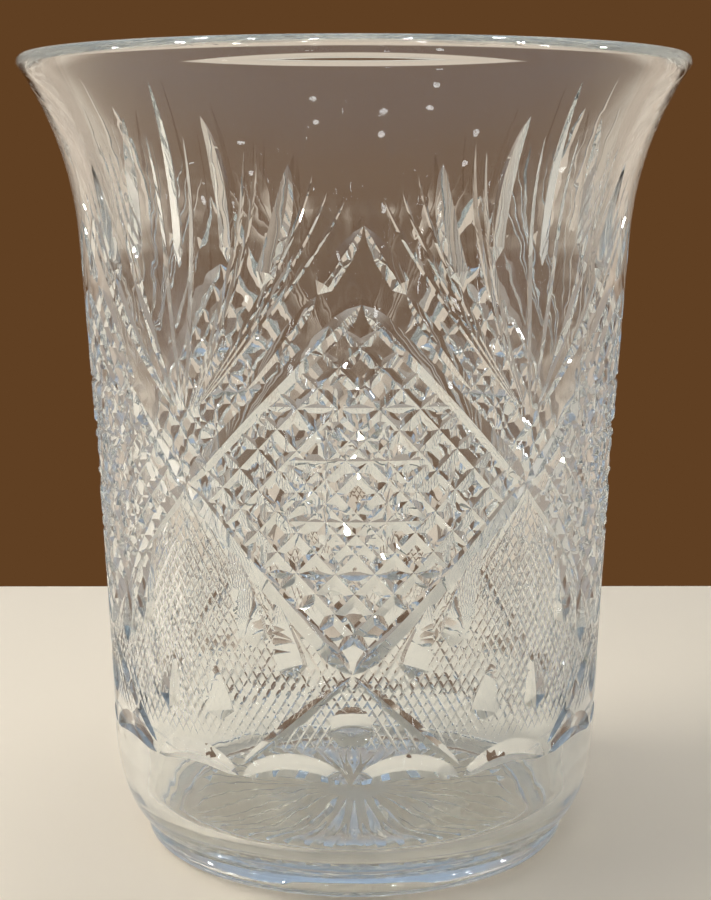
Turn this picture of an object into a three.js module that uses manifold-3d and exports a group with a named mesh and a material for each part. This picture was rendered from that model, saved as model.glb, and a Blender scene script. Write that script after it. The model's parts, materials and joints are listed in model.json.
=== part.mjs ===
// A clear cut glass tumbler: one flared bowl on a low foot, with five cut panels round its wall,
// fans above them, a scalloped border below them and a star under the base.
// Lengths are in millimetres, +Z is up, and the origin is where the glass's axis meets the table.
import * as THREE from 'three';
import { mergeVertices } from 'three/addons/utils/BufferGeometryUtils.js';
import Module from 'manifold-3d';

const wasm = await Module();
wasm.setup();

// Driving dimensions of the bowl and its foot
const height = 98;
const rimRadius = 41;
const neckRadius = 34;
const neckHeight = 75;
const shoulderRadius = 31.1;
const shoulderHeight = 15;
const bodySwell = 1.25;
const flareAngle = 33;
const lipThickness = 1.8;
const wallThickness = 3.4;
const floorHeight = 4.5;
const floorCorner = 5;
const waistRadius = 26.2;
const waistHeight = 2.4;
const footRadius = 27.1;
const footSide = 1;
const footEdge = 0.8;
const recessRadius = 23;
const recessDepth = 1.4;
const recessBevel = 0.8;

// How finely the revolved wall is faceted: facets to each panel round it, and spans up each part
const panels = 5;
const facetsPerPanel = 7;
const footSpans = 2;
const shoulderSpans = 4;
const bodySpans = 3;
const flareSpans = 5;
const lipSpans = 4;
const insideSpans = 6;
const cornerSpans = 3;
const thumbFacets = 12;
const thumbRings = 8;

// The pattern was set out by hand: its panels lean sideways by this much for each millimetre of height
const lean = 0.024;
const leanHeight = 38;

// Main diamond of each panel
const diamondTop = 70.3;
const diamondMiddle = 49.6;
const diamondBottom = 28.7;
const edgeWidth = 2.2;
const edgeDepth = 0.8;

// Star of crossing chords inside the diamond, in a square frame
const starPoints = 8;
const starSkip = 3;
const starRadius = 9;
const starWidth = 1.8;
const starDepth = 0.7;
const frameHalfWidth = 10.4;
const frameHalfHeight = 9.4;
const frameWidth = 1;
const frameDepth = 0.45;

// Gable over each diamond, with its sprig of two short leaves
const gableTop = 78.7;
const gableSpring = 60.5;
const gableReach = 12.6;
const gableWidth = 1.1;
const gableDepth = 0.45;
const gableBendAcross = 0.6;
const gableBendDown = 0.65;
const sprigReach = 4.6;
const sprigDrop = 7.4;
const sprigWidth = 2.2;
const sprigDepth = 0.7;

// Fans between the diamonds: broad blades, blunt below, with fine rays between and beyond them.
// Distances across are from the fan's middle, straight sideways
const fanTop = 92.2;
const fanFall = 0.5;
const bladeTips = [0, 5.3, 13.8];
const bladeEnds = [0, 6.4, 10.2];
const bladeFoot = 74;
const bladeWidth = 2;
const bladeDepth = 0.6;
const rayTips = [2.7, 9.4, 17.4];
const rayBendShare = 0.72;
const rayBendHeight = 71;
const rayRoot = 58;
const rayRootShare = 0.08;
const rayWidth = 0.75;
const rayDepth = 0.35;

// Broad leaves that hang under the diamond's lower edges
const leafStarts = [15.3, 9.6];
const leafLengths = [12.8, 10];
const leafGap = 0.5;
const leafLean = 0.26;
const leafWidth = 3.8;
const leafDepth = 1.1;
const leafSkew = 0.35;

// Thumb mark under each diamond, the mitres beside it, and the scalloped border
const thumbHeight = 22.5;
const thumbRadius = 2.6;
const thumbDepth = 0.7;
const skirtGap = 1;
const skirtWidth = 1.1;
const skirtDepth = 0.45;
const scallopsPerPanel = 3;
const scallopBase = 16.9;
const scallopRise = 2.4;
const scallopWidth = 2;
const scallopDepth = 0.8;

// Star under the base, with rays of two lengths by turns
const baseRays = 26;
const baseRayOuter = 21.2;
const baseRayInner = 4;
const shortRayInner = 8.8;
const baseRayDepth = 0.9;
const baseRayCover = 0.9;

// How far a cutter stands above the surface it cuts, and how far its pointed ends clear it
const cutterLift = 0.5;
const endLift = 0.06;

// Small steps that slopes and directions are measured over: in height, and as a share of a cut's length
const heightStep = 0.05;
const alongStep = 0.01;

const radians = Math.PI / 180;
const lipRadius = lipThickness / 2;

// The lip is half a circle across the wall's end, tilted with the flare
const lipCentreRadius = rimRadius - lipRadius;
const lipCentreHeight = height - lipRadius;
const flareEndRadius = lipCentreRadius + lipRadius * Math.cos(flareAngle * radians);
const flareEndHeight = lipCentreHeight - lipRadius * Math.sin(flareAngle * radians);

// Body radius before the flare is added: a slow swell from the shoulder up
function bodyRadius(z) {
  const rise = Math.max(0, (z - shoulderHeight) / (neckHeight - shoulderHeight));
  return shoulderRadius + (neckRadius - shoulderRadius) * rise ** bodySwell;
}

const flareRun = flareEndHeight - neckHeight;
const flareReach = flareEndRadius - bodyRadius(flareEndHeight);
const bodySlopeAtLip = (bodyRadius(flareEndHeight + heightStep) - bodyRadius(flareEndHeight - heightStep))
  / (2 * heightStep);
const flarePower = (Math.tan(flareAngle * radians) - bodySlopeAtLip) * flareRun / flareReach;

// Outside radius at any height from the waist to the lip
function outerRadius(z) {
  if (z < shoulderHeight) {
    const drop = (shoulderHeight - z) / (shoulderHeight - waistHeight);
    return waistRadius + (shoulderRadius - waistRadius) * Math.sqrt(Math.max(0, 1 - drop * drop));
  }
  const flare = Math.max(0, (z - neckHeight) / flareRun);
  return bodyRadius(z) + flareReach * flare ** flarePower;
}

// Direction, in radius and height, that points straight out of the outside wall
function outerNormal(z) {
  const slope = (outerRadius(z + heightStep) - outerRadius(z - heightStep)) / (2 * heightStep);
  return new THREE.Vector2(1, -slope).normalize();
}

// Evenly spaced values from one end to the other, both included
function spread(from, to, count) {
  return Array.from({ length: count + 1 }, (_, i) => from + (to - from) * i / count);
}

// Points of an elliptical arc between two angles in degrees
function arcPoints(centreX, centreY, radiusX, radiusY, from, to, count) {
  return spread(from * radians, to * radians, count).map((angle) =>
    new THREE.Vector2(centreX + radiusX * Math.cos(angle), centreY + radiusY * Math.sin(angle)));
}

// Whole profile, from the middle of the underside, out round the foot, up the outside, over the lip
// and down the inside to the middle of the floor
function bowlProfile() {
  const along = (from, to, count) =>
    spread(from, to, count).slice(1).map((z) => new THREE.Vector2(outerRadius(z), z));
  const foot = [
    ...arcPoints(footRadius - footEdge, footEdge, footEdge, footEdge, -90, 0, footSpans),
    ...arcPoints(waistRadius, footSide, footRadius - waistRadius, waistHeight - footSide, 0, 90, footSpans)
      .slice(0, -1),
  ];
  const outside = [
    ...arcPoints(waistRadius, shoulderHeight, shoulderRadius - waistRadius,
      shoulderHeight - waistHeight, -90, 0, shoulderSpans),
    ...along(shoulderHeight, neckHeight, bodySpans),
    ...along(neckHeight, flareEndHeight, flareSpans),
  ];
  const lip = arcPoints(lipCentreRadius, lipCentreHeight, lipRadius, lipRadius,
    -flareAngle, 180 - flareAngle, lipSpans).slice(1);
  const innerCornerTop = floorHeight + floorCorner;
  const inside = spread(flareEndHeight, innerCornerTop, insideSpans).slice(1).map((z) => {
    const thinning = Math.max(0, (z - neckHeight) / flareRun);
    const thickness = wallThickness + (lipThickness - wallThickness) * thinning;
    return new THREE.Vector2(outerRadius(z) - thickness / outerNormal(z).x, z);
  });
  const cornerStart = inside[inside.length - 1].x;
  const corner = arcPoints(cornerStart - floorCorner, innerCornerTop, floorCorner, floorCorner,
    0, -90, cornerSpans).slice(1);
  return [
    new THREE.Vector2(0, recessDepth),
    new THREE.Vector2(recessRadius - recessBevel, recessDepth),
    new THREE.Vector2(recessRadius, 0),
    ...foot,
    ...outside,
    ...lip,
    ...inside,
    ...corner,
    new THREE.Vector2(0, floorHeight),
  ];
}

// Closed geometry to solid, with shared corners merged and the empty triangles on the axis left out
function toSolid(geometry) {
  const bare = geometry.clone();
  bare.deleteAttribute('normal');
  bare.deleteAttribute('uv');
  const merged = mergeVertices(bare);
  const corners = merged.index.array;
  const kept = [];
  for (let i = 0; i < corners.length; i += 3) {
    const [a, b, c] = [corners[i], corners[i + 1], corners[i + 2]];
    if (a !== b && b !== c && c !== a) kept.push(a, b, c);
  }
  const vertProperties = new Float32Array(merged.attributes.position.array);
  const triVerts = new Uint32Array(kept);
  return new wasm.Manifold(new wasm.Mesh({ numProp: 3, vertProperties, triVerts }));
}

// Solid back to a geometry with flat facets
function toGeometry(solid) {
  const mesh = solid.getMesh();
  const geometry = new THREE.BufferGeometry();
  geometry.setAttribute('position', new THREE.BufferAttribute(new Float32Array(mesh.vertProperties), 3));
  geometry.setIndex(new THREE.BufferAttribute(new Uint32Array(mesh.triVerts), 1));
  geometry.computeVertexNormals();
  return geometry;
}

// The pattern is laid out flat: x runs round the wall from a panel's centre line, as an arc length
// at the height of the diamond's middle, and z is the height
const beltRadius = outerRadius(diamondMiddle);
const halfPanel = Math.PI * beltRadius / panels;

// Point and outward direction on the wall for one panel
function wallPlace(panel) {
  const middle = panel * 2 * halfPanel;
  return (x, z) => {
    const angle = (middle + x + lean * (z - leanHeight)) / beltRadius;
    const radius = outerRadius(z);
    const slope = outerNormal(z);
    return {
      point: new THREE.Vector3(radius * Math.sin(angle), -radius * Math.cos(angle), z),
      out: new THREE.Vector3(slope.x * Math.sin(angle), -slope.x * Math.cos(angle), slope.y),
    };
  };
}

// The same wall by straight sideways distance from the middle of the fan on the panel's right
function fanPlace(place) {
  return (across, z) => place(halfPanel + beltRadius * Math.asin(across / outerRadius(z)), z);
}

// Point and outward direction on the recessed underside, by angle and radius
function basePlace(angle, radius) {
  return {
    point: new THREE.Vector3(radius * Math.sin(angle), -radius * Math.cos(angle), recessDepth),
    out: new THREE.Vector3(0, 0, -1),
  };
}

// Outlines of a wheel cut: how much of its full depth it has at each share of its length
const mitreShape = [[0, 0], [0.12, 1], [0.5, 1], [0.88, 1], [1, 0]];
const needleShape = [[0, 0], [0.45, 1], [1, 0]];
const bladeShape = [[0, 0], [0.4, 0.9], [0.93, 1], [1, 0]];
const leafShape = [[0, 0], [0.4, 0.75], [0.82, 1], [1, 0]];
const archShape = [[0, 0], [0.25, 1], [0.75, 1], [1, 0]];
const wedgeShape = [[0, 0], [0.8, 1], [1, 0]];

// A V-shaped wheel cut along a curve on the surface. Each cross-section is a triangle whose point is
// under the surface and whose flat side stands above it, and both ends rise clear of the surface. A
// skewed cut has its point off to one side, so one of its two faces is wider
function wheelCut(curve, place, width, depth, shape, skew = 0) {
  const positions = [];
  for (const [along, share] of shape) {
    const here = curve.getPoint(along);
    const before = curve.getPoint(Math.max(0, along - alongStep));
    const after = curve.getPoint(Math.min(1, along + alongStep));
    const { point, out } = place(here.x, here.y);
    const forward = place(after.x, after.y).point.sub(place(before.x, before.y).point).normalize();
    const side = new THREE.Vector3().crossVectors(forward, out).normalize();
    const sink = depth * share - endLift * (1 - share);
    const halfWidth = (cutterLift + sink) * width / (2 * depth);
    const top = point.clone().addScaledVector(out, cutterLift);
    const bottom = point.clone().addScaledVector(out, -sink).addScaledVector(side, halfWidth * skew);
    positions.push(...top.clone().addScaledVector(side, -halfWidth).toArray());
    positions.push(...top.addScaledVector(side, halfWidth).toArray());
    positions.push(...bottom.toArray());
  }
  const faces = [2, 1, 0];
  for (let ring = 0; ring < shape.length - 1; ring += 1) {
    for (let corner = 0; corner < 3; corner += 1) {
      const a = ring * 3 + corner;
      const b = ring * 3 + (corner + 1) % 3;
      faces.push(a, b, a + 3, b, b + 3, a + 3);
    }
  }
  const last = (shape.length - 1) * 3;
  faces.push(last, last + 1, last + 2);
  const geometry = new THREE.BufferGeometry();
  geometry.setAttribute('position', new THREE.Float32BufferAttribute(positions, 3));
  geometry.setIndex(faces);
  return toSolid(geometry);
}

const flat = (x, z) => new THREE.Vector2(x, z);
const line = (x0, z0, x1, z1) => new THREE.LineCurve(flat(x0, z0), flat(x1, z1));
const bow = (x0, z0, x1, z1, x2, z2) =>
  new THREE.QuadraticBezierCurve(flat(x0, z0), flat(x1, z1), flat(x2, z2));

// Height of the diamond's lower edge at a distance from the panel's centre line
const lowerEdge = (x) => diamondBottom + (diamondMiddle - diamondBottom) * Math.abs(x) / halfPanel;

// The diamond's four edges
function diamondCuts(place) {
  return [-1, 1].flatMap((side) => [diamondTop, diamondBottom].map((tip) =>
    wheelCut(line(0, tip, side * halfPanel, diamondMiddle), place, edgeWidth, edgeDepth, mitreShape)));
}

// Star of chords that each skip two of its points, which leaves a raised hub with pointed kites round it
function starCuts(place) {
  const tips = Array.from({ length: starPoints }, (_, i) => {
    const angle = 2 * Math.PI * (i + 0.5) / starPoints;
    return [starRadius * Math.sin(angle), diamondMiddle + starRadius * Math.cos(angle)];
  });
  return tips.map((tip, i) =>
    wheelCut(line(...tip, ...tips[(i + starSkip) % starPoints]), place, starWidth, starDepth, mitreShape));
}

// Frame round the star
function frameCuts(place) {
  const [left, right] = [-frameHalfWidth, frameHalfWidth];
  const [low, high] = [diamondMiddle - frameHalfHeight, diamondMiddle + frameHalfHeight];
  const sides = [[left, low, right, low], [left, high, right, high], [left, low, left, high],
    [right, low, right, high]];
  return sides.map((ends) => wheelCut(line(...ends), place, frameWidth, frameDepth, mitreShape));
}

// Gable that stands over the diamond, and the sprig of two leaves under its tip
function gableCuts(place) {
  const drop = gableTop - gableSpring;
  return [-1, 1].flatMap((side) => [
    wheelCut(bow(side * sprigReach, gableTop - sprigDrop,
      side * gableReach * gableBendAcross, gableTop - drop * gableBendDown,
      side * gableReach, gableSpring), place, gableWidth, gableDepth, needleShape),
    wheelCut(line(0, gableTop, side * sprigReach, gableTop - sprigDrop), place,
      sprigWidth, sprigDepth, bladeShape),
  ]);
}

// Fan between two panels: its blades first, then the fine rays that bend in to its root
function fanCuts(place) {
  const wall = fanPlace(place);
  const tipHeight = (across) => fanTop - across * fanFall;
  return [-1, 1].flatMap((side) => {
    const blades = bladeTips.flatMap((tip, i) => (tip === 0 && side < 0 ? [] : [
      wheelCut(line(side * tip, tipHeight(tip), side * bladeEnds[i], bladeFoot), wall,
        bladeWidth, bladeDepth, bladeShape),
    ]));
    const rays = rayTips.map((tip) =>
      wheelCut(bow(side * tip, tipHeight(tip), side * tip * rayBendShare, rayBendHeight,
        side * tip * rayRootShare, rayRoot), wall, rayWidth, rayDepth, needleShape));
    return [...blades, ...rays];
  });
}

// Leaves that hang from the diamond's lower edges, each with a wide and a narrow face
function hangingLeaves(place) {
  return [-1, 1].flatMap((side) => leafStarts.map((x, i) => {
    const top = lowerEdge(x) - leafGap;
    const run = leafLengths[i];
    return wheelCut(line(side * x, top, side * (x - run * leafLean), top - run), place,
      leafWidth, leafDepth, leafShape, side * leafSkew);
  }));
}

// Two mitres that run on down from the diamond's bottom corner to the border
function skirtCuts(place) {
  const end = 2 * halfPanel / scallopsPerPanel;
  return [-1, 1].map((side) =>
    wheelCut(line(0, diamondBottom, side * end, scallopBase + skirtGap), place,
      skirtWidth, skirtDepth, needleShape));
}

// Round thumb mark, the hollow that a ball leaves
function thumbMark(place) {
  const ball = (thumbRadius ** 2 + thumbDepth ** 2) / (2 * thumbDepth);
  const { point, out } = place(0, thumbHeight);
  const centre = point.addScaledVector(out, ball - thumbDepth);
  const sphere = new THREE.SphereGeometry(ball, thumbFacets, thumbRings);
  return toSolid(sphere.translate(centre.x, centre.y, centre.z));
}

// Scalloped border: a chain of arched leaves that meet in low cusps
function scallopCuts(place) {
  const pitch = 2 * halfPanel / scallopsPerPanel;
  return Array.from({ length: scallopsPerPanel }, (_, i) => {
    const start = (i - 1) * pitch;
    const arch = bow(start, scallopBase, start + pitch / 2, scallopBase + 2 * scallopRise,
      start + pitch, scallopBase);
    return wheelCut(arch, place, scallopWidth, scallopDepth, archShape);
  });
}

// Star under the base
function baseStarCuts() {
  const width = 2 * Math.PI * baseRayOuter / baseRays * baseRayCover;
  return Array.from({ length: baseRays }, (_, i) => {
    const angle = 2 * Math.PI * i / baseRays;
    const inner = i % 2 === 0 ? baseRayInner : shortRayInner;
    return wheelCut(line(angle, inner, angle, baseRayOuter), basePlace, width, baseRayDepth, wedgeShape);
  });
}

// The bowl as it leaves the mould, before the wheel
function blankBowl() {
  const lathe = new THREE.LatheGeometry(bowlProfile(), panels * facetsPerPanel);
  return toSolid(lathe.rotateX(Math.PI / 2));
}

function cutTumbler() {
  const cutters = baseStarCuts();
  for (let panel = 0; panel < panels; panel += 1) {
    const place = wallPlace(panel);
    cutters.push(
      ...diamondCuts(place),
      ...starCuts(place),
      ...frameCuts(place),
      ...gableCuts(place),
      ...fanCuts(place),
      ...hangingLeaves(place),
      ...skirtCuts(place),
      thumbMark(place),
      ...scallopCuts(place),
    );
  }
  return blankBowl().subtract(wasm.Manifold.union(cutters));
}

const clearGlass = new THREE.MeshStandardMaterial({
  color: 0xdfe7ea,
  roughness: 0.03,
  metalness: 0,
  transparent: true,
  opacity: 0.35,
});

const tumbler = new THREE.Mesh(toGeometry(cutTumbler()), clearGlass);
tumbler.name = 'tumbler_glass';

const group = new THREE.Group();
group.add(tumbler);

export default group;
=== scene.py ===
"""A clear cut glass tumbler on a pale table top, in soft studio light.

The bowl is a profile revolved about +Z. A wheel pattern is then cut into its outside: star-filled
diamonds, fans, leaves, hatching, a scalloped border and a rayed star under the base. Pattern sizes
are in millimetres, as arc length round the wall and height, and everything built is in metres.
"""

from __future__ import annotations

import json
import logging
import math
from collections.abc import Callable
from dataclasses import dataclass, field, replace
from enum import Enum

import bpy
import numpy as np
from mathutils import Euler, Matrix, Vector

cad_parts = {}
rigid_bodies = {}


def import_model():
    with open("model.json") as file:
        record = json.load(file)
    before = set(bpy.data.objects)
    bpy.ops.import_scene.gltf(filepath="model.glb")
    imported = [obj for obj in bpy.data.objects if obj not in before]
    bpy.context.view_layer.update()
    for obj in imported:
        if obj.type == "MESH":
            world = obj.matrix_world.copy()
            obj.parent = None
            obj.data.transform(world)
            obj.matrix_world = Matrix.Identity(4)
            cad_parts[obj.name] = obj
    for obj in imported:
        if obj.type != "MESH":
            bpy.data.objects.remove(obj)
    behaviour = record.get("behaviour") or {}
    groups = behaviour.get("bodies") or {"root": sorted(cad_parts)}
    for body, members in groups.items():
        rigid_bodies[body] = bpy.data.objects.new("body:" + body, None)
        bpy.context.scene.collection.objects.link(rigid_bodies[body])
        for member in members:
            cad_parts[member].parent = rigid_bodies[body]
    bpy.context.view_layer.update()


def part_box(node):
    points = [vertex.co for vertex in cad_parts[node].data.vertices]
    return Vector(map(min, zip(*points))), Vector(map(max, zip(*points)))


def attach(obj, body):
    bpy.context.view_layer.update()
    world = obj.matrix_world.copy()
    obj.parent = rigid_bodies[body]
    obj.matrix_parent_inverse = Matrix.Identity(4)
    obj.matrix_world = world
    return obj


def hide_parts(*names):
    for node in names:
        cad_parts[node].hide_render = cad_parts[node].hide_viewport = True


LOG = logging.getLogger("tumbler")

MM = 0.001
NODE = "tumbler_glass"
LIGHT_BOUNCES = 24

# The two sides of a line of symmetry.
SIDES = (-1, 1)

# Powers that the outlines of wheel cuts rise by. A lower one fills out sooner.
LEAF_POWER = 0.8
NEEDLE_POWER = 0.45
DROP_POWER = 0.7
BLADE_POWER = 0.6

# How fast a blade widens, where the blunt ends begin and how long a mitre's points are, as shares
# of the length.
BLADE_RISE = 2.2
DROP_SHOULDER = 0.8
BLADE_SHOULDER = 0.9
MITRE_POINT = 0.07

# Fewest spans of a cut with a curved outline, and of a mitre.
CURVED_SPANS = 7
MITRE_SPANS = 4

# Spans of the glass's section, out round the foot, up the outside and down the inside.
FOOT_EDGE_SPANS = 10
FOOT_TOP_SPANS = 12
SHOULDER_SPANS = 18
BODY_SPANS = 15
FLARE_SPANS = 19
LIP_SPANS = 14
INNER_FLARE_SPANS = 17
INNER_BODY_SPANS = 11
CORNER_SPANS = 12

# Angles in degrees at which the foot's round ends and the shoulder's starts, on either side of the
# waist.
FOOT_TOP_END = 86
SHOULDER_START = -84

# Half steps in height that the slopes of the neck and of the wall are measured over.
NECK_STEP = 0.5 * MM
WALL_STEP = 0.05 * MM

# Spans of the thumb mark's half circle and of the table's softened edge.
THUMB_SPANS = 24
TABLE_EDGE_SPANS = 8

# Sockets of a colour mix node: its inputs and its result.
MIX_SHARE, MIX_FROM, MIX_TO, MIX_RESULT = 0, 6, 7, 2

Point = tuple[float, float]
Place = tuple[float, float, float]
# Blocks of faces as vertex numbers, one array for the faces of one kind and one row a face.
Faces = list[np.ndarray]
# Function from two arrays of pattern measures to places and outward normals.
Surface = Callable[[np.ndarray, np.ndarray], tuple[np.ndarray, np.ndarray]]


def linear(code: str) -> tuple[float, float, float, float]:
    """Turn an sRGB hex colour into linear light.

    Args:
        code: The colour as six hex digits.

    Returns:
        Linear red, green and blue, with an alpha of 1.
    """
    srgb = np.array([int(code[i : i + 2], 16) for i in (0, 2, 4)]) / 255.0
    light = np.where(srgb <= 0.04045, srgb / 12.92, ((srgb + 0.055) / 1.055) ** 2.4)
    return (*light.tolist(), 1.0)


def add_node(
    tree: bpy.types.NodeTree, kind: str, links: dict | None = None, **settings: object
) -> bpy.types.Node:
    """Add a shader node with its settings, socket values and links.

    Args:
        tree: The node tree that gets the node.
        kind: The node's type.
        links: Input names or numbers, each with the output socket or value that it takes.
        settings: Node properties by name.

    Returns:
        The new node.
    """
    node = tree.nodes.new(kind)
    for name, value in settings.items():
        setattr(node, name, value)
    for name, value in (links or {}).items():
        if isinstance(value, bpy.types.NodeSocket):
            tree.links.new(value, node.inputs[name])
        else:
            node.inputs[name].default_value = value
    return node


def add_maths(
    tree: bpy.types.NodeTree, operation: str, *values: bpy.types.NodeSocket | float
) -> bpy.types.NodeSocket:
    """Add a maths node.

    Args:
        tree: The node tree that gets the node.
        operation: What it does with its inputs.
        values: Its inputs in order, as output sockets or numbers.

    Returns:
        The socket of its result.
    """
    links = dict(enumerate(values))
    return add_node(tree, "ShaderNodeMath", links, operation=operation).outputs[0]


def add_fade(
    tree: bpy.types.NodeTree, value: bpy.types.NodeSocket, none: float, full: float
) -> bpy.types.NodeSocket:
    """Add a smooth fade between two limits of a value.

    Args:
        tree: The node tree that gets the node.
        value: The socket that it follows.
        none: The value at which it is 0.
        full: The value at which it is 1.

    Returns:
        The socket of its result.
    """
    links = {"Value": value, "From Min": none, "From Max": full}
    return add_node(
        tree, "ShaderNodeMapRange", links, interpolation_type="SMOOTHSTEP"
    ).outputs[0]


def mesh_object(name: str, points: np.ndarray, faces: Faces) -> bpy.types.Object:
    """Make a linked mesh object from points in metres.

    Args:
        name: The object's name.
        points: Vertex places, one row each.
        faces: Its faces, turning left seen from outside.

    Returns:
        The new object, at the origin.
    """
    mesh = bpy.data.meshes.new(name)
    mesh.from_pydata(points.tolist(), [], [face for block in faces for face in block.tolist()])
    mesh.validate()
    obj = bpy.data.objects.new(name, mesh)
    bpy.context.scene.collection.objects.link(obj)
    return obj


def arc(
    centre: Point, across: float, up: float, start: float, stop: float, spans: int
) -> np.ndarray:
    """Points of an elliptical arc.

    Args:
        centre: Radius and height of its centre.
        across: Half width.
        up: Half height.
        start: First angle in degrees, from the outward direction.
        stop: Last angle in degrees.
        spans: How many spans it has.

    Returns:
        One row of radius and height a point.
    """
    angle = np.radians(np.linspace(start, stop, spans + 1))
    return np.stack([centre[0] + across * np.cos(angle), centre[1] + up * np.sin(angle)], axis=1)


def steps_to(start: float, stop: float, spans: int) -> np.ndarray:
    """Even steps from a start that is itself left out.

    Args:
        start: The value before the first one.
        stop: The last value.
        spans: How many steps there are.

    Returns:
        The values in order.
    """
    return np.linspace(start, stop, spans + 1)[1:]


def tube_quads(rings: int, corners: int) -> np.ndarray:
    """Quads that join rings of points into a tube.

    Args:
        rings: How many rings there are, one after the other in the list of points.
        corners: How many points each ring has.

    Returns:
        One quad a row.
    """
    corner = np.arange(corners)
    after = (corner + 1) % corners
    first = (np.arange(rings - 1) * corners)[:, None]
    upper = first + corners
    quads = np.stack([first + corner, first + after, upper + after, upper + corner], axis=2)
    return quads.reshape(-1, 4)


def revolve(profile: np.ndarray, segments: int) -> tuple[np.ndarray, Faces]:
    """Turn a profile about +Z. Its first and last points lie on the axis and become single poles.

    Args:
        profile: Radius and height of each point, up the outside and down the inside.
        segments: How many facets go round.

    Returns:
        Vertex places and faces.
    """
    angle = np.linspace(0, 2 * math.pi, segments, endpoint=False)
    rings = profile[1:-1]
    across = np.stack([np.sin(angle), -np.cos(angle)], axis=1)
    heights = np.broadcast_to(rings[:, None, 1:], (len(rings), segments, 1))
    grid = np.concatenate([rings[:, None, :1] * across[None], heights], axis=2).reshape(-1, 3)
    points = np.concatenate([grid, [[0, 0, profile[0, 1]], [0, 0, profile[-1, 1]]]])
    column = np.arange(segments)
    after = (column + 1) % segments
    last = (len(rings) - 1) * segments
    below = np.stack([np.full(segments, len(grid)), after, column], axis=1)
    above = np.stack([np.full(segments, len(grid) + 1), last + column, last + after], axis=1)
    return points, [tube_quads(len(rings), segments), below, above]


def blunt_end(along: np.ndarray, shoulder: float) -> np.ndarray:
    """Quarter circle that closes the blunt end of a cut.

    Args:
        along: Shares of the length from 0 to 1.
        shoulder: The share at which it begins.

    Returns:
        1 up to the shoulder, falling to 0 at the end.
    """
    closing = np.clip((along - shoulder) / (1 - shoulder), 0, 1)
    return np.sqrt(1 - closing**2)


class Outline(Enum):
    """How the depth of a wheel cut runs from its start to its end."""

    LEAF = "pointed at both ends, fullest in the middle"
    NEEDLE = "pointed at both ends, nearly even between them"
    DROP = "long point at the start, full and blunt at the end"
    BLADE = "short point at the start, wide along it and blunt at the end"
    MITRE = "even, with short pointed ends"

    def shares(self, along: np.ndarray) -> np.ndarray:
        """Share of the full depth at each share of the length.

        Args:
            along: Shares of the length from 0 to 1.

        Returns:
            A power of a half sine wave for a leaf or needle, a power curve that closes in a
            quarter circle for a drop or blade, and a clipped ramp for a mitre.
        """
        if self is Outline.LEAF:
            return np.sin(math.pi * along) ** LEAF_POWER
        if self is Outline.NEEDLE:
            return np.sin(math.pi * along) ** NEEDLE_POWER
        if self is Outline.DROP:
            rising = np.minimum(1, along / DROP_SHOULDER) ** DROP_POWER
            return rising * blunt_end(along, DROP_SHOULDER)
        if self is Outline.BLADE:
            rising = np.minimum(1, along * BLADE_RISE) ** BLADE_POWER
            return rising * blunt_end(along, BLADE_SHOULDER)
        return np.clip(np.minimum(along, 1 - along) / MITRE_POINT, 0, 1)


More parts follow.
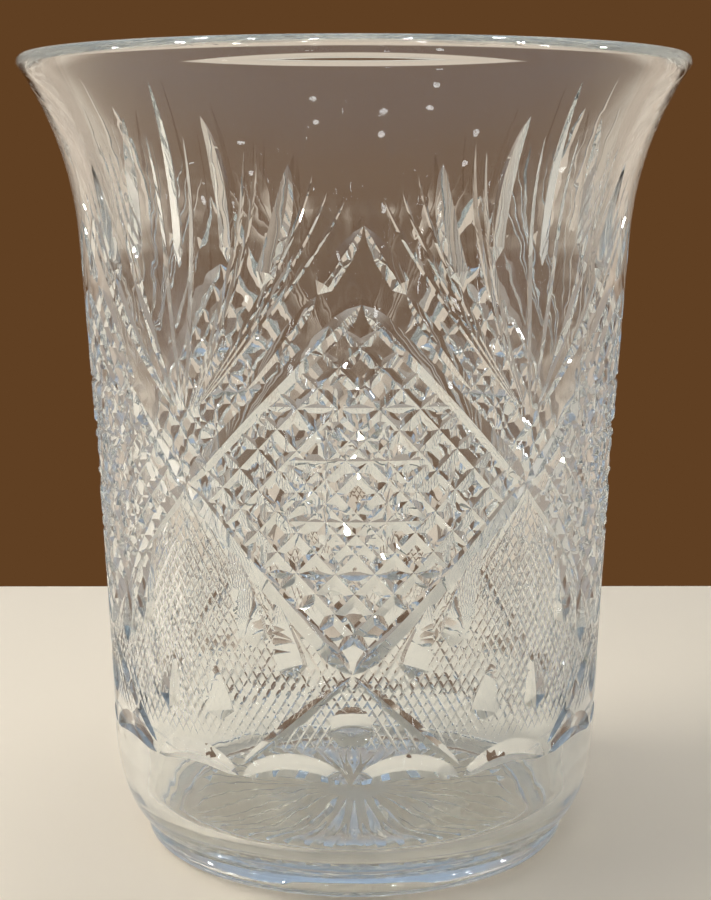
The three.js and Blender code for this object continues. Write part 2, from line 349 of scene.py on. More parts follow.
@dataclass(frozen=True)
class BowlForm:
    """The glass before it is cut, as a profile of radius and height, in metres.

    A slow swell up the body, a flare to a tilted round lip, a rounded shoulder that draws in to a
    waist, and a low foot with a recess under it. The sizes are the solid's, but for a slightly
    rounder foot.
    """

    height: float
    rim_radius: float
    neck_radius: float = 34 * MM
    neck_height: float = 75 * MM
    shoulder_radius: float = 31.1 * MM
    shoulder_height: float = 15 * MM
    body_swell: float = 1.25
    flare_angle: float = math.radians(33)
    lip_thickness: float = 1.8 * MM
    wall_thickness: float = 3.4 * MM
    floor_height: float = 4.5 * MM
    floor_corner: float = 5 * MM
    waist_radius: float = 26.2 * MM
    waist_height: float = 2.4 * MM
    foot_radius: float = 27.1 * MM
    foot_edge: float = 1.2 * MM
    foot_side: float = 1.2 * MM
    recess_radius: float = 23 * MM
    recess_depth: float = 1.4 * MM
    recess_bevel: float = 0.8 * MM
    segments: int = 200
    belt_height: float = 49.6 * MM
    lean: float = 0.024
    lean_height: float = 38 * MM

    @property
    def lip_centre(self) -> Point:
        """Radius and height of the middle of the lip's round section."""
        return self.rim_radius - self.lip_thickness / 2, self.height - self.lip_thickness / 2

    @property
    def flare_end(self) -> Point:
        """Radius and height where the outside wall meets the lip.

        Returns:
            The end of the lip's half circle on the outside.
        """
        radius, height = self.lip_centre
        half = self.lip_thickness / 2
        return (
            radius + half * math.cos(self.flare_angle),
            height - half * math.sin(self.flare_angle),
        )

    @property
    def belt_radius(self) -> float:
        """Outside radius at the belt, where pattern widths are true."""
        return float(self.outer_radius(np.array(self.belt_height)))

    def body_radius(self, z: np.ndarray) -> np.ndarray:
        """Radius of the body with no flare.

        Args:
            z: Heights.

        Returns:
            A power curve from the shoulder up.
        """
        rise = (z - self.shoulder_height) / (self.neck_height - self.shoulder_height)
        swell = self.neck_radius - self.shoulder_radius
        return self.shoulder_radius + swell * np.maximum(0, rise) ** self.body_swell

    def outer_radius(self, z: np.ndarray) -> np.ndarray:
        """Outside radius from the waist to the lip.

        Args:
            z: Heights.

        Returns:
            A quarter ellipse up to the shoulder, then the body curve, with a power curve added
            over the neck that reaches the lip at the flare's angle.
        """
        end_radius, end_height = self.flare_end
        run = end_height - self.neck_height
        reach = end_radius - float(self.body_radius(np.array(end_height)))
        over, under = self.body_radius(np.array([end_height + NECK_STEP, end_height - NECK_STEP]))
        slope = float(over - under) / (2 * NECK_STEP)
        power = (math.tan(self.flare_angle) - slope) * run / reach
        flare = np.maximum(0, (z - self.neck_height) / run) ** power
        drop = (self.shoulder_height - z) / (self.shoulder_height - self.waist_height)
        round_in = np.sqrt(1 - np.clip(drop, 0, 1) ** 2)
        low = self.waist_radius + (self.shoulder_radius - self.waist_radius) * round_in
        return np.where(z < self.shoulder_height, low, self.body_radius(z) + reach * flare)

    def outer_slope(self, z: np.ndarray) -> np.ndarray:
        """Outside normals, from a central difference.

        Args:
            z: Heights.

        Returns:
            One row of radial and upward shares a height.
        """
        rise = self.outer_radius(z + WALL_STEP) - self.outer_radius(z - WALL_STEP)
        rate = rise / (2 * WALL_STEP)
        return np.stack([np.ones_like(rate), -rate], axis=-1) / np.sqrt(1 + rate**2)[..., None]

    def outside(self) -> np.ndarray:
        """Radius and height up the outside, from the foot ring's edge to the lip.

        Returns:
            One row a point.
        """
        waist_round = self.foot_radius - self.waist_radius
        shoulder_round = self.shoulder_radius - self.waist_radius
        wall_z = np.concatenate(
            [
                steps_to(self.shoulder_height, self.neck_height, BODY_SPANS),
                steps_to(self.neck_height, self.flare_end[1], FLARE_SPANS),
            ]
        )
        return np.concatenate(
            [
                arc(
                    (self.foot_radius - self.foot_edge, self.foot_edge),
                    self.foot_edge,
                    self.foot_edge,
                    -90,
                    0,
                    FOOT_EDGE_SPANS,
                ),
                arc(
                    (self.waist_radius, self.foot_side),
                    waist_round,
                    self.waist_height - self.foot_side,
                    0,
                    FOOT_TOP_END,
                    FOOT_TOP_SPANS,
                ),
                arc(
                    (self.waist_radius, self.shoulder_height),
                    shoulder_round,
                    self.shoulder_height - self.waist_height,
                    SHOULDER_START,
                    0,
                    SHOULDER_SPANS,
                ),
                np.stack([self.outer_radius(wall_z), wall_z], axis=1),
            ]
        )

    def inside(self) -> np.ndarray:
        """Radius and height down the inside, from under the lip to the rounded floor corner.

        Returns:
            One row a point.
        """
        lip_end = self.flare_end[1]
        corner_top = self.floor_height + self.floor_corner
        z = np.concatenate(
            [
                steps_to(lip_end, self.neck_height, INNER_FLARE_SPANS),
                steps_to(self.neck_height, corner_top, INNER_BODY_SPANS),
            ]
        )
        thinning = np.clip((z - self.neck_height) / (lip_end - self.neck_height), 0, 1)
        thickness = self.wall_thickness + (self.lip_thickness - self.wall_thickness) * thinning
        radius = self.outer_radius(z) - thickness / self.outer_slope(z)[:, 0]
        centre = (radius[-1] - self.floor_corner, corner_top)
        corner = arc(centre, self.floor_corner, self.floor_corner, 0, -90, CORNER_SPANS)[1:]
        return np.concatenate([np.stack([radius, z], axis=1), corner])

    def profile(self) -> np.ndarray:
        """Radius and height along the whole section, from the recess to the inside floor.

        Returns:
            One row a point, out round the foot, up the outside, over the lip and down the inside.
        """
        half = self.lip_thickness / 2
        tilt = math.degrees(self.flare_angle)
        recess = [
            [0, self.recess_depth],
            [self.recess_radius - self.recess_bevel, self.recess_depth],
            [self.recess_radius, 0],
        ]
        return np.concatenate(
            [
                recess,
                self.outside(),
                arc(self.lip_centre, half, half, -tilt, 180 - tilt, LIP_SPANS)[1:],
                self.inside(),
                [[0, self.floor_height]],
            ]
        )

    def on_wall(self, x: np.ndarray, z: np.ndarray) -> tuple[np.ndarray, np.ndarray]:
        """Wrap flat pattern places on to the outside wall, with the pattern's slight lean.

        Args:
            x: Arc lengths round the belt from a panel's centre line, in metres.
            z: Heights in metres.

        Returns:
            Places on the wall and outward normals, one row each.
        """
        angle = (x + self.lean * (z - self.lean_height)) / self.belt_radius
        radius = self.outer_radius(z)
        slope = self.outer_slope(z)
        across = np.stack([np.sin(angle), -np.cos(angle)], axis=-1)
        places = np.concatenate([across * radius[:, None], z[:, None]], axis=1)
        normals = np.concatenate([across * slope[:, :1], slope[:, 1:]], axis=1)
        return places, normals

    def beside(self, middle: float) -> Surface:
        """Surface on which runs are straight as seen square on to the wall at one arc length.

        Args:
            middle: Arc length of the plane through the axis that sideways distances start from.

        Returns:
            Function from sideways distances and heights to places and normals.
        """

        def surface(s: np.ndarray, z: np.ndarray) -> tuple[np.ndarray, np.ndarray]:
            """Turn sideways distances into the arc lengths under which they are seen."""
            return self.on_wall(middle + self.belt_radius * np.arcsin(s / self.outer_radius(z)), z)

        return surface

    def under_base(self, angle: np.ndarray, radius: np.ndarray) -> tuple[np.ndarray, np.ndarray]:
        """Wrap pattern places on to the recessed underside.

        Args:
            angle: Angles round the axis.
            radius: Distances from it, in metres.

        Returns:
            Places on the underside and outward normals, one row each.
        """
        level = np.full_like(angle, self.recess_depth)
        places = np.stack([radius * np.sin(angle), -radius * np.cos(angle), level], axis=1)
        return places, np.tile([0.0, 0.0, -1.0], (len(angle), 1))


@dataclass(frozen=True)
class WheelCut:
    """One V-shaped cut along a straight or bowed run, in pattern millimetres.

    Its cutter stands above the surface by the lift, and its pointed ends clear the surface by the
    end lift.
    """

    ends: tuple[Point, Point]
    width: float
    depth: float
    outline: Outline = Outline.LEAF
    bend: Point | None = None
    skew: float = 0.0
    step: float = 1.5
    lift: float = 0.3
    end_lift: float = 0.03

    def run(self) -> np.ndarray:
        """Points along the cut, in millimetres.

        Returns:
            A straight line, or a quadratic curve pulled towards the bend, as rows.
        """
        start, stop = (np.array(end, float) for end in self.ends)
        middle = (start + stop) / 2 if self.bend is None else np.array(self.bend, float)
        length = np.linalg.norm(middle - start) + np.linalg.norm(stop - middle)
        fewest = MITRE_SPANS if self.outline is Outline.MITRE else CURVED_SPANS
        spans = max(fewest, math.ceil(length / self.step))
        t = np.linspace(0, 1, spans + 1)[:, None]
        return (1 - t) ** 2 * start + 2 * t * (1 - t) * middle + t**2 * stop

    def shell(self, surface: Surface, scale: Point = (MM, MM)) -> tuple[np.ndarray, Faces]:
        """Closed cutter whose section is a triangle, point in the glass and flat side above it.

        Args:
            surface: Function from two pattern arrays to places and outward normals.
            scale: What turns each pattern measure into the surface's own.

        Returns:
            Vertex places and faces.
        """
        run = self.run()
        share = self.outline.shares(np.linspace(0, 1, len(run)))
        places, normals = surface(run[:, 0] * scale[0], run[:, 1] * scale[1])
        forward = np.gradient(places, axis=0)
        forward /= np.linalg.norm(forward, axis=1, keepdims=True)
        side = np.cross(forward, normals)
        side /= np.linalg.norm(side, axis=1, keepdims=True)
        sink = (self.depth * share - self.end_lift * (1 - share))[:, None] * MM
        half = (self.lift * MM + sink) * self.width / (2 * self.depth)
        top = places + normals * self.lift * MM
        point = places - normals * sink + side * half * self.skew
        rings = np.stack([top - side * half, top + side * half, point], axis=1)
        count, corners = rings.shape[:2]
        first_end = np.arange(corners)[::-1]
        last_end = np.arange(corners) + (count - 1) * corners
        faces = [tube_quads(count, corners), np.stack([first_end, last_end])]
        return rings.reshape(-1, 3), faces


@dataclass(frozen=True)
class PanelPattern:
    """The cuts of one panel, from its centre line to both of its borders, in millimetres."""

    half_panel: float
    diamond_top: float = 70.3
    diamond_middle: float = 49.6
    diamond_bottom: float = 28.7
    edge_width: float = 2.2
    edge_depth: float = 0.8
    star_points: int = 8
    star_stride: int = 3
    star_radius: float = 9.0
    star_width: float = 1.8
    star_depth: float = 0.7
    frame_half_width: float = 10.4
    frame_half_height: float = 9.4
    frame_width: float = 1.0
    frame_depth: float = 0.45
    lattice_spacing: float = 2.2
    lattice_width: float = 1.7
    lattice_depth: float = 0.6
    gable_top: float = 78.7
    gable_spring: float = 60.5
    gable_reach: float = 12.6
    gable_bend: Point = (0.6, 0.65)
    gable_width: float = 1.6
    gable_depth: float = 0.5
    sprig_reach: float = 4.6
    sprig_drop: float = 7.4
    sprig_width: float = 2.2
    sprig_depth: float = 0.7
    fan_blades: tuple[tuple[Point, Point, Point], ...] = (
        ((0, 94), (0, 84), (0, 73.9)),
        ((5.3, 90.2), (6.6, 84), (6.4, 74.5)),
        ((13.8, 85.2), (12.9, 79.5), (10.0, 71.9)),
    )
    blade_sections: tuple[Point, ...] = ((1.3, 0.5), (2.0, 0.7), (2.3, 1.15))
    fan_rays: tuple[Point, ...] = (
        (2.6, 88.6),
        (9.5, 86.9),
        (11.0, 87.9),
        (16.1, 84.3),
        (17.3, 82.5),
        (18.8, 81.5),
    )
    ray_bend_share: float = 0.72
    ray_bend_height: float = 71
    ray_root: float = 58
    ray_root_share: float = 0.08
    ray_width: float = 0.75
    ray_depth: float = 0.24
    leaf_runs: tuple[tuple[Point, Point], ...] = (
        ((15.3, 43.9), (11.9, 31.2)),
        ((9.6, 37.6), (7.2, 27.8)),
        ((17.9, 29.5), (16.6, 22.0)),
    )
    leaf_width: float = 4.2
    leaf_depth: float = 0.9
    leaf_skew: float = 0.55
    hatch_spacing: float = 1.2
    hatch_slope: float = 1.6
    hatch_gap: float = 0.8
    hatch_width: float = 0.5
    hatch_depth: float = 0.1
    edge_samples: int = 200
    fine_step: float = 3.0
    skirt_gap: float = 1.0
    scallops: int = 3
    scallop_base: float = 16.0
    scallop_rise: float = 2.1
    scallop_width: float = 2.8
    scallop_depth: float = 0.65
    scallop_skew: float = 0.55

    @property
    def lower_slope(self) -> float:
        """Rise of the diamond's lower edges for each millimetre sideways."""
        return (self.diamond_middle - self.diamond_bottom) / self.half_panel

    @property
    def scallop_pitch(self) -> float:
        """Arc length of one scallop of the border."""
        return 2 * self.half_panel / self.scallops

    def diamond(self) -> list[WheelCut]:
        """The diamond's four edges.

        Returns:
            One straight mitre an edge.
        """
        return [
            WheelCut(
                ((0, tip), (side * self.half_panel, self.diamond_middle)),
                self.edge_width,
                self.edge_depth,
                Outline.MITRE,
            )
            for side in SIDES
            for tip in (self.diamond_top, self.diamond_bottom)
        ]

    def star(self) -> list[WheelCut]:
        """Star of crossing chords, each of which skips two of its points.

        Returns:
            One straight mitre a point of the star, with a raised hub left between them.
        """
        radius, middle = self.star_radius, self.diamond_middle
        angles = 2 * math.pi * (np.arange(self.star_points) + 0.5) / self.star_points
        tips = [(radius * math.sin(a), middle + radius * math.cos(a)) for a in angles]
        return [
            WheelCut(
                (tips[i], tips[(i + self.star_stride) % self.star_points]),
                self.star_width,
                self.star_depth,
                Outline.MITRE,
            )
            for i in range(self.star_points)
        ]

    def frame(self) -> list[WheelCut]:
        """Frame round the star.

        Returns:
            One straight mitre a side.
        """
        w = self.frame_half_width
        top = self.diamond_middle + self.frame_half_height
        bottom = self.diamond_middle - self.frame_half_height
        sides = [
            ((-w, top), (w, top)),
            ((-w, bottom), (w, bottom)),
            ((-w, bottom), (-w, top)),
            ((w, bottom), (w, top)),
        ]
        return [WheelCut(ends, self.frame_width, self.frame_depth, Outline.MITRE) for ends in sides]

    def lattice(self) -> list[WheelCut]:
        """Small raised diamonds all over the big one, from cuts along the slopes of its edges.

        Returns:
            Straight mitres in mirrored pairs, evenly spaced from edge to edge.
        """
        cuts = []
        count = math.floor(self.half_panel / self.lattice_spacing)
        for share in np.arange(1, count) / count:
            start_x = share * self.half_panel
            start_z = self.diamond_top - share * (self.diamond_top - self.diamond_middle)
            stop_x = start_x - self.half_panel
            stop_z = start_z - (self.diamond_middle - self.diamond_bottom)
            cuts += [
                WheelCut(
                    ((side * start_x, start_z), (side * stop_x, stop_z)),
                    self.lattice_width,
                    self.lattice_depth,
                    Outline.MITRE,
                    step=self.fine_step,
                )
                for side in SIDES
            ]
        return cuts

    def gable(self) -> list[WheelCut]:
        """Gable over the diamond, with the sprig of short leaves under its tip.

        Returns:
            For each side, the bowed run of the gable and one leaf of the sprig.
        """
        cuts = []
        top, spring = self.gable_top, self.gable_spring
        across, down = self.gable_bend
        for side in SIDES:
            reach = side * self.gable_reach
            sprig = (side * self.sprig_reach, top - self.sprig_drop)
            bend = (reach * across, top - (top - spring) * down)
            ends = (sprig, (reach, spring))
            cuts += [
                WheelCut(ends, self.gable_width, self.gable_depth, Outline.NEEDLE, bend),
                WheelCut(((0, top), sprig), self.sprig_width, self.sprig_depth, Outline.BLADE),
            ]
        return cuts

    def fan(self) -> list[WheelCut]:
        """Fan about a border: broad blades, blunt below, with thin rays between and beyond them.

        Returns:
            Cuts whose first measure is the sideways distance from the border. The blades are
            nearly upright, and the rays bend in to one root low in the fan.
        """
        cuts = []
        blades = list(zip(self.fan_blades, self.blade_sections, strict=True))
        for side in SIDES:
            # The middle blade is cut once.
            for ((x0, z0), (x1, z1), (x2, z2)), (width, depth) in blades[0 if side > 0 else 1 :]:
                ends, bend = ((side * x0, z0), (side * x2, z2)), (side * x1, z1)
                cuts.append(WheelCut(ends, width, depth, Outline.BLADE, bend))
            for tip, top in self.fan_rays:
                ends = ((side * tip, top), (side * tip * self.ray_root_share, self.ray_root))
                bend = (side * tip * self.ray_bend_share, self.ray_bend_height)
                cuts.append(WheelCut(ends, self.ray_width, self.ray_depth, Outline.NEEDLE, bend))
        return cuts

    def leaves(self) -> list[WheelCut]:
        """Broad leaves that hang from the diamond's lower edges, one facet wider than the other.

        Returns:
            One skewed cut a leaf.
        """
        return [
            WheelCut(
                ((side * top_x, top_z), (side * foot_x, foot_z)),
                self.leaf_width,
                self.leaf_depth,
                Outline.DROP,
                skew=side * self.leaf_skew,
            )
            for side in SIDES
            for (top_x, top_z), (foot_x, foot_z) in self.leaf_runs
        ]

    def hatching(self) -> list[WheelCut]:
        """Fine crossing lines between the diamonds' lower edges and the border.

        Returns:
            Lines that climb away from their feet until they meet the edge of a diamond.
        """
        cuts = []
        base = self.scallop_base + self.scallop_rise + self.hatch_gap
        run = (self.diamond_middle - base) / self.hatch_slope
        count = math.floor(2 * self.half_panel / self.hatch_spacing)
        for start in self.half_panel * 2 * np.arange(count) / count - self.half_panel:
            reach = self.meet_edge(start, base, run)
            if reach > self.hatch_spacing:
                top = base + reach * self.hatch_slope
                cuts += [
                    WheelCut(
                        ((side * start, base), (side * (start + reach), top)),
                        self.hatch_width,
                        self.hatch_depth,
                        Outline.NEEDLE,
                        step=self.fine_step,
                    )
                    for side in SIDES
                ]
        return cuts

    def meet_edge(self, foot: float, base: float, run: float) -> float:
        """Sideways reach of a climbing line from its foot to the first diamond edge above it.

        Args:
            foot: Where it starts, sideways from the panel's centre line.
            base: The height it starts at.
            run: Longest reach.

        Returns:
            The reach, in millimetres.
        """
        x = foot + np.linspace(0, run, self.edge_samples)
        z = base + (x - foot) * self.hatch_slope
        off = np.abs((x + self.half_panel) % (2 * self.half_panel) - self.half_panel)
        over = z > self.diamond_bottom + off * self.lower_slope
        return float(x[np.argmax(over)] - foot) if over.any() else run

    def skirt(self) -> list[WheelCut]:
        """Two mitres that run on down from the diamond's bottom corner to the border.

        Returns:
            One cut a side.
        """
        foot = self.scallop_base + self.skirt_gap
        return [
            WheelCut(
                ((0, self.diamond_bottom), (side * self.scallop_pitch, foot)),
                self.gable_width,
                self.gable_depth,
                Outline.NEEDLE,
            )
            for side in SIDES
        ]

    def border(self) -> list[WheelCut]:
        """Scalloped border: arched leaves that meet in low cusps, one on the centre line.

        Returns:
            One bowed and skewed cut a scallop.
        """
        pitch, base, rise = self.scallop_pitch, self.scallop_base, self.scallop_rise
        return [
            WheelCut(
                ((start, base), (start + pitch, base)),
                self.scallop_width,
                self.scallop_depth,
                Outline.NEEDLE,
                (start + pitch / 2, base + 2 * rise),
                self.scallop_skew,
            )
            for start in (np.arange(self.scallops) - 1) * pitch
        ]

    def wall_cuts(self) -> list[WheelCut]:
        """Every cut of the panel but its fan.

        Returns:
            The cuts in the order in which they are made.
        """
        return [
            *self.diamond(),
            *self.star(),
            *self.frame(),
            *self.lattice(),
            *self.gable(),
            *self.leaves(),
            *self.hatching(),
            *self.skirt(),
            *self.border(),
        ]


@dataclass
class Tumbler:
    """The cut glass itself: the revolved blank and its cutters.

    A fan's strength is what its depths are multiplied by, so that the far ones stay faint.
    """

    form: BowlForm
    panels: int = 5
    fan_strengths: tuple[float, ...] = (1.0, 0.55, 0.25, 0.55, 1.0)
    base_rays: int = 48
    base_ray_outer: float = 21.2
    base_ray_inner: float = 4.0
    short_ray_start: float = 2.2
    base_ray_cover: float = 0.92
    base_ray_depth: float = 1.2
    thumb_height: float = 22.5
    thumb_radius: float = 2.6
    thumb_depth: float = 0.7
    sharp_angle: float = math.radians(16)
    cutters: bpy.types.Collection = field(init=False)

    def __post_init__(self) -> None:
        """Make the collection that holds the cutters while the glass is cut."""
        self.cutters = bpy.data.collections.new("cutters")

    def add_cutter(self, points: np.ndarray, faces: Faces, copies: int) -> None:
        """Add one cutter, turned about +Z into each panel.

        Args:
            points: Vertex places of the first one.
            faces: Its faces.
            copies: How many there are round the axis.
        """
        turns = 2 * math.pi * np.arange(copies) / copies
        cos, sin = np.cos(turns)[:, None], np.sin(turns)[:, None]
        x, y, z = points.T
        heights = np.broadcast_to(z, (copies, len(z)))
        places = np.stack([cos * x - sin * y, sin * x + cos * y, heights], axis=2)
        shift = (np.arange(copies) * len(points))[:, None, None]
        turned = [(block + shift).reshape(-1, block.shape[1]) for block in faces]
        obj = mesh_object("cutter", places.reshape(-1, 3), turned)
        bpy.context.scene.collection.objects.unlink(obj)
        self.cutters.objects.link(obj)

    def add_wall_cutters(self) -> None:
        """Add the cutters of the panels and of the fans between them."""
        half_panel = math.pi * self.form.belt_radius / self.panels / MM
        pattern = PanelPattern(half_panel)
        for cut in pattern.wall_cuts():
            self.add_cutter(*cut.shell(self.form.on_wall), self.panels)
        for border, strength in enumerate(self.fan_strengths):
            fan_wall = self.form.beside((2 * border + 1) * half_panel * MM)
            for cut in pattern.fan():
                self.add_cutter(*replace(cut, depth=cut.depth * strength).shell(fan_wall), 1)

    def add_thumb_cutters(self) -> None:
        """Add the balls that leave a round thumb mark under each diamond."""
        radius = (self.thumb_radius**2 + self.thumb_depth**2) / (2 * self.thumb_depth) * MM
        half = arc((0, 0), radius, radius, -90, 90, THUMB_SPANS)
        points, faces = revolve(half, 2 * THUMB_SPANS)
        place, normal = self.form.on_wall(np.array([0.0]), np.array([self.thumb_height * MM]))
        centre = place[0] + normal[0] * (radius - self.thumb_depth * MM)
        self.add_cutter(points + centre, faces, self.panels)

    def add_base_cutters(self) -> None:
        """Add the rays of the star under the base, long and short by turns."""
        inner, outer = self.base_ray_inner, self.base_ray_outer
        pitch = 2 * math.pi / self.base_rays
        width = 2 * math.pi * outer / self.base_rays * self.base_ray_cover
        for angle, start in ((0.0, inner), (pitch, inner * self.short_ray_start)):
            ends = ((angle, start), (angle, outer))
            ray = WheelCut(ends, width, self.base_ray_depth, Outline.DROP)
            self.add_cutter(*ray.shell(self.form.under_base, (1.0, MM)), self.base_rays // 2)

    def cut(self) -> bpy.types.Object:
        """Cut the pattern into the blank.

        Returns:
            The finished glass, with smooth walls and crisp edges round every cut.
        """
        self.add_wall_cutters()
        self.add_thumb_cutters()
        self.add_base_cutters()
        glass = mesh_object("cut_tumbler", *revolve(self.form.profile(), self.form.segments))
        carve = glass.modifiers.new("pattern", "BOOLEAN")
        carve.operation = "DIFFERENCE"
        carve.operand_type = "COLLECTION"
        carve.collection = self.cutters
        carve.solver = "MANIFOLD"
        carved = glass.evaluated_get(bpy.context.evaluated_depsgraph_get())
        cut_mesh = bpy.data.meshes.new_from_object(carved)
        glass.modifiers.clear()
        glass.data = cut_mesh
        for obj in list(self.cutters.objects):
            bpy.data.objects.remove(obj)
        bpy.data.collections.remove(self.cutters)
        cut_mesh.shade_smooth()
        cut_mesh.set_sharp_from_angle(angle=self.sharp_angle)
        LOG.info("glass: %d vertices, %d faces", len(cut_mesh.vertices), len(cut_mesh.polygons))
        return glass


@dataclass(frozen=True)
class PolishedGlass:
    """Clear soda-lime glass, pressed and wheel cut, then polished.

    Its surface is smooth but for faint waves, which fade out towards the fire-polished lip, and
    thick glass has a slight cool tint.
    """

    tint: str = "fbfdfd"
    ior: float = 1.52
    roughness: float = 0.0
    depth_tint: str = "9dc3d3"
    depth_density: float = 5.0
    wave_length: float = 3.5 * MM
    wave_height: float = 0.045 * MM
    wave_detail: float = 1.0
    fire_polish: Point = (80 * MM, 94 * MM)

    def material(self) -> bpy.types.Material:
        """Node material of the glass.

        Returns:
            The material, with the waves as a bump and the tint as absorption in the glass.
        """
        made = bpy.data.materials.new("polished_soda_lime_glass")
        made.use_nodes = True
        tree = made.node_tree
        shader = tree.nodes["Principled BSDF"]
        shader.inputs["Base Color"].default_value = linear(self.tint)
        shader.inputs["Transmission Weight"].default_value = 1.0
        shader.inputs["IOR"].default_value = self.ior
        shader.inputs["Roughness"].default_value = self.roughness
        place = add_node(tree, "ShaderNodeTexCoord").outputs["Object"]
        grain = {"Vector": place, "Scale": 1 / self.wave_length, "Detail": self.wave_detail}
        waves = add_node(tree, "ShaderNodeTexNoise", grain).outputs[0]
        height = add_node(tree, "ShaderNodeSeparateXYZ", {0: place}).outputs["Z"]
        polish_start, polish_end = self.fire_polish
        pressed = add_fade(tree, height, polish_end, polish_start)
        relief = add_maths(tree, "MULTIPLY", waves, pressed)
        bump = add_node(tree, "ShaderNodeBump", {"Height": relief, "Distance": self.wave_height})
        tree.links.new(bump.outputs[0], shader.inputs["Normal"])
        absorbed = {"Color": linear(self.depth_tint), "Density": self.depth_density}
        depth = add_node(tree, "ShaderNodeVolumeAbsorption", absorbed)
        tree.links.new(depth.outputs[0], tree.nodes["Material Output"].inputs["Volume"])
        return made


@dataclass(frozen=True)
class Lamp:
    """A round area light that faces the glass, in metres and watts."""

    name: str
    place: Place
    size: float
    power: float


@dataclass(frozen=True)
class Studio:
    """Pale table top, plain backdrop colour, soft lights and the camera.

    The dark backdrop is bounded by slopes seen from the glass: each pair is where it has faded out
    and where it is full.
    """

    floor_half: float = 0.8
    floor_back: float = 0.125
    floor_thickness: float = 0.025
    floor_edge: float = 0.002
    floor_drop: float = 0.0001
    floor_colour: str = "e6d7bf"
    floor_roughness: float = 0.8
    backdrop_colour: str = "604023"
    board_side: Point = (1.0, 0.42)
    board_foot: Point = (-0.19, -0.09)
    board_top: Point = (0.26, 0.09)
    least_ahead: float = 0.05
    low_colour: str = "d8c5b1"
    wall_colour: str = "a99b8e"
    ceiling_colour: str = "9fb0c4"
    side_colour: str = "a0958a"
    side_reach: Point = (0.5, 1.5)
    wall_rise: Point = (-0.12, 0.04)
    ceiling_rise: Point = (0.3, 0.8)
    softboxes: tuple[Lamp, ...] = (
        Lamp("softbox_left", (-0.3, 0.0, 0.36), 0.2, 0.95),
        Lamp("softbox_top", (0.05, 0.1, 0.8), 0.4, 1.3),
        Lamp("panel_left", (-0.75, -0.35, 0.45), 0.35, 0.7),
    )
    lamp_places: tuple[Place, ...] = (
        (-0.14, -0.52, 0.62),
        (0.2, -0.5, 0.72),
        (-0.52, -0.3, 0.42),
        (0.5, -0.34, 0.36),
        (-0.3, 0.1, 0.7),
        (0.32, 0.05, 0.75),
        (-0.2, -0.75, 0.25),
        (0.26, -0.7, 0.16),
        (-0.6, -0.1, 0.12),
        (0.62, -0.05, 0.2),
        (-0.4, -0.55, 0.1),
        (-0.35, -0.35, 0.75),
        (0.55, -0.3, 0.05),
    )
    lamp_size: float = 0.035
    lamp_power: float = 1.4
    aim_height: float = 0.05
    camera_place: Place = (0.00013, -0.2149, 0.0852)
    camera_tilt: float = math.radians(9.58)
    camera_roll: float = math.radians(-0.03)
    camera_clip: Point = (0.01, 20.0)
    sensor_width: float = 36.0
    lens: float = 68.08

    def floor(self) -> bpy.types.Object:
        """Table top with a straight, softened back edge behind the glass.

        Returns:
            The slab, as a section carried straight across from side to side.
        """
        half, back, edge = self.floor_half, self.floor_back, self.floor_edge
        front, under = -2 * half, -self.floor_thickness
        soft_edge = arc((back - edge, -edge), edge, edge, 90, 0, TABLE_EDGE_SPANS)
        section = np.concatenate([soft_edge, [[back, under], [front, under], [front, 0]]])
        points = np.concatenate([np.insert(section, 0, side * half, axis=1) for side in SIDES])
        count = len(section)
        caps = np.stack([np.arange(count), np.arange(2 * count - 1, count - 1, -1)])
        faces = [tube_quads(len(SIDES), count)[:, ::-1], caps]
        slab = mesh_object("floor", points - [0, 0, self.floor_drop], faces)
        made = bpy.data.materials.new("floor_matt_paint")
        made.use_nodes = True
        shader = made.node_tree.nodes["Principled BSDF"]
        shader.inputs["Base Color"].default_value = linear(self.floor_colour)
        shader.inputs["Roughness"].default_value = self.floor_roughness
        slab.data.materials.append(made)
        return slab

    def world(self) -> None:
        """Soft room light, with the dark backdrop only in the part that lies behind the glass."""
        world = bpy.data.worlds.new("studio")
        bpy.context.scene.world = world
        world.use_nodes = True
        tree = world.node_tree
        tree.nodes.clear()
        toward = add_node(tree, "ShaderNodeTexCoord").outputs["Generated"]
        x, y, height = add_node(tree, "ShaderNodeSeparateXYZ", {0: toward}).outputs
        ahead = add_maths(tree, "MAXIMUM", y, self.least_ahead)
        wide = add_maths(tree, "ABSOLUTE", add_maths(tree, "DIVIDE", x, ahead))
        tall = add_maths(tree, "DIVIDE", height, ahead)
        behind = add_fade(tree, wide, *self.board_side)
        for limits in (self.board_foot, self.board_top):
            behind = add_maths(tree, "MULTIPLY", behind, add_fade(tree, tall, *limits))
        shade = linear(self.low_colour)
        for value, limits, colour in (
            (wide, self.side_reach, self.side_colour),
            (height, self.wall_rise, self.wall_colour),
            (height, self.ceiling_rise, self.ceiling_colour),
        ):
            share = add_fade(tree, value, *limits)
            blend = {MIX_SHARE: share, MIX_FROM: shade, MIX_TO: linear(colour)}
            shade = add_node(tree, "ShaderNodeMix", blend, data_type="RGBA").outputs[MIX_RESULT]
        room, backdrop = (
            add_node(tree, "ShaderNodeBackground", {"Color": colour}).outputs[0]
            for colour in (shade, linear(self.backdrop_colour))
        )
        seen = add_node(tree, "ShaderNodeLightPath").outputs["Is Camera Ray"]
        plain = add_maths(tree, "MAXIMUM", behind, seen)
        mix = add_node(tree, "ShaderNodeMixShader", {0: plain, 1: room, 2: backdrop})
        add_node(tree, "ShaderNodeOutputWorld", {"Surface": mix.outputs[0]})

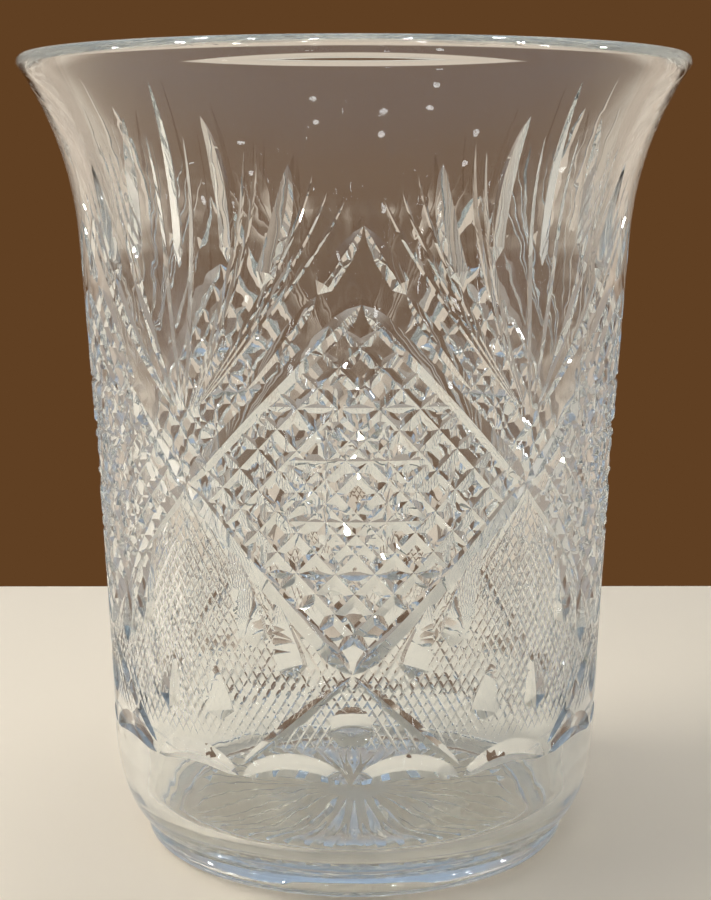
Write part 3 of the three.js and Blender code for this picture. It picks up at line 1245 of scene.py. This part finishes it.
    def light(self, lamp: Lamp) -> bpy.types.Object:
        """Add a round light that faces the glass.

        Args:
            lamp: Its name, place, width and power.

        Returns:
            The light's object.
        """
        data = bpy.data.lights.new(lamp.name, "AREA")
        data.shape = "DISK"
        data.size = lamp.size
        data.energy = lamp.power
        obj = bpy.data.objects.new(lamp.name, data)
        bpy.context.scene.collection.objects.link(obj)
        obj.location = lamp.place
        aim = Vector((0, 0, self.aim_height)) - Vector(lamp.place)
        obj.rotation_euler = aim.to_track_quat("-Z", "Y").to_euler()
        return obj

    def lights(self) -> None:
        """Softboxes that light the table, and lamps that only glint in the glass."""
        for softbox in self.softboxes:
            obj = self.light(softbox)
            obj.visible_glossy = False
            obj.visible_transmission = False
        for number, place in enumerate(self.lamp_places):
            obj = self.light(Lamp(f"lamp_{number}", place, self.lamp_size, self.lamp_power))
            obj.visible_diffuse = False

    def camera(self) -> bpy.types.Object:
        """Camera at the photograph's angle.

        Returns:
            The camera's object.
        """
        data = bpy.data.cameras.new("camera")
        data.sensor_width = self.sensor_width
        data.lens = self.lens
        data.clip_start, data.clip_end = self.camera_clip
        obj = bpy.data.objects.new("camera", data)
        bpy.context.scene.collection.objects.link(obj)
        obj.location = self.camera_place
        tilted = Euler((math.pi / 2 - self.camera_tilt, 0, 0)).to_matrix()
        rolled = Euler((0, 0, self.camera_roll)).to_matrix()
        obj.rotation_euler = (tilted @ rolled).to_euler()
        bpy.context.scene.camera = obj
        return obj


def main() -> None:
    """Load the solid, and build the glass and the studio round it."""
    logging.basicConfig(level=logging.INFO, format="%(name)s: %(message)s")
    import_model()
    studio = Studio()
    studio.camera()
    low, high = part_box(NODE)
    form = BowlForm(height=high.z, rim_radius=max(high.x, high.y, -low.x, -low.y))
    glass = Tumbler(form).cut()
    glass.data.materials.clear()
    glass.data.materials.append(PolishedGlass().material())
    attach(glass, "root")
    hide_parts(NODE)
    studio.floor()
    studio.world()
    studio.lights()
    scene = bpy.context.scene
    scene.view_settings.view_transform = "Standard"
    scene.cycles.max_bounces = LIGHT_BOUNCES
    scene.cycles.glossy_bounces = LIGHT_BOUNCES
    scene.cycles.transmission_bounces = LIGHT_BOUNCES
    bpy.context.view_layer.update()


if __name__ == "__main__":
    main()
